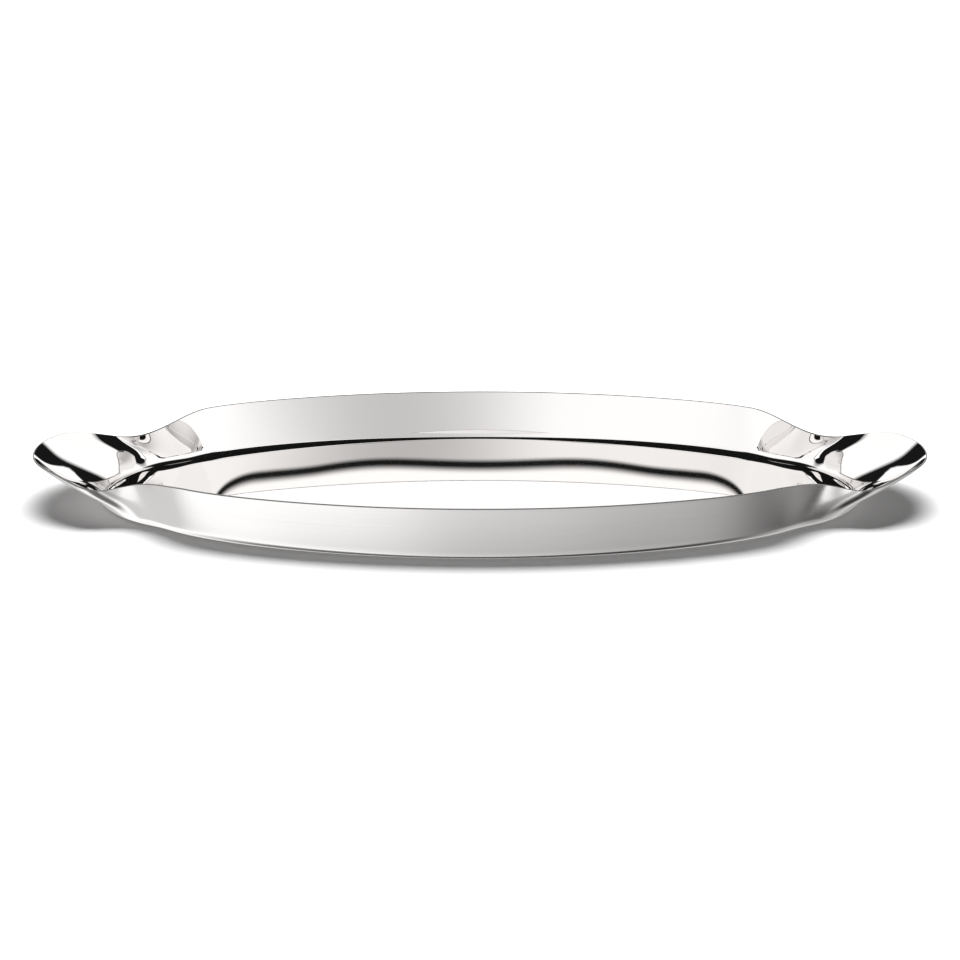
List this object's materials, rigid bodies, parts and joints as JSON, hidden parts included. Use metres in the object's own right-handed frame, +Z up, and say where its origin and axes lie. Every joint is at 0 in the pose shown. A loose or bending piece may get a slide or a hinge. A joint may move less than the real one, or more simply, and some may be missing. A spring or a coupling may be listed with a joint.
{
  "type": "serving tray",
  "caption": "Oval mirror-polished metal serving tray with upright walls and an integral flared lip handle at each end, for carrying and presenting food.",
  "frame": {"origin": "centre of the footprint, on the table plane under the middle of the tray", "axes": "+X from handle to handle, +Y across the tray, +Z up"},
  "size_m": [0.5, 0.318, 0.0296],
  "materials": {
    "polished_steel": "mirror-polished stainless steel inside, slightly softer polish on the outer wall",
    "clear_silicone": "clear soft silicone, slightly cloudy"
  },
  "bodies": {
    "root": {"tray_body": "polished_steel", "foot_1": "clear_silicone", "foot_2": "clear_silicone", "foot_3": "clear_silicone", "foot_4": "clear_silicone"}
  },
  "joints": []
}
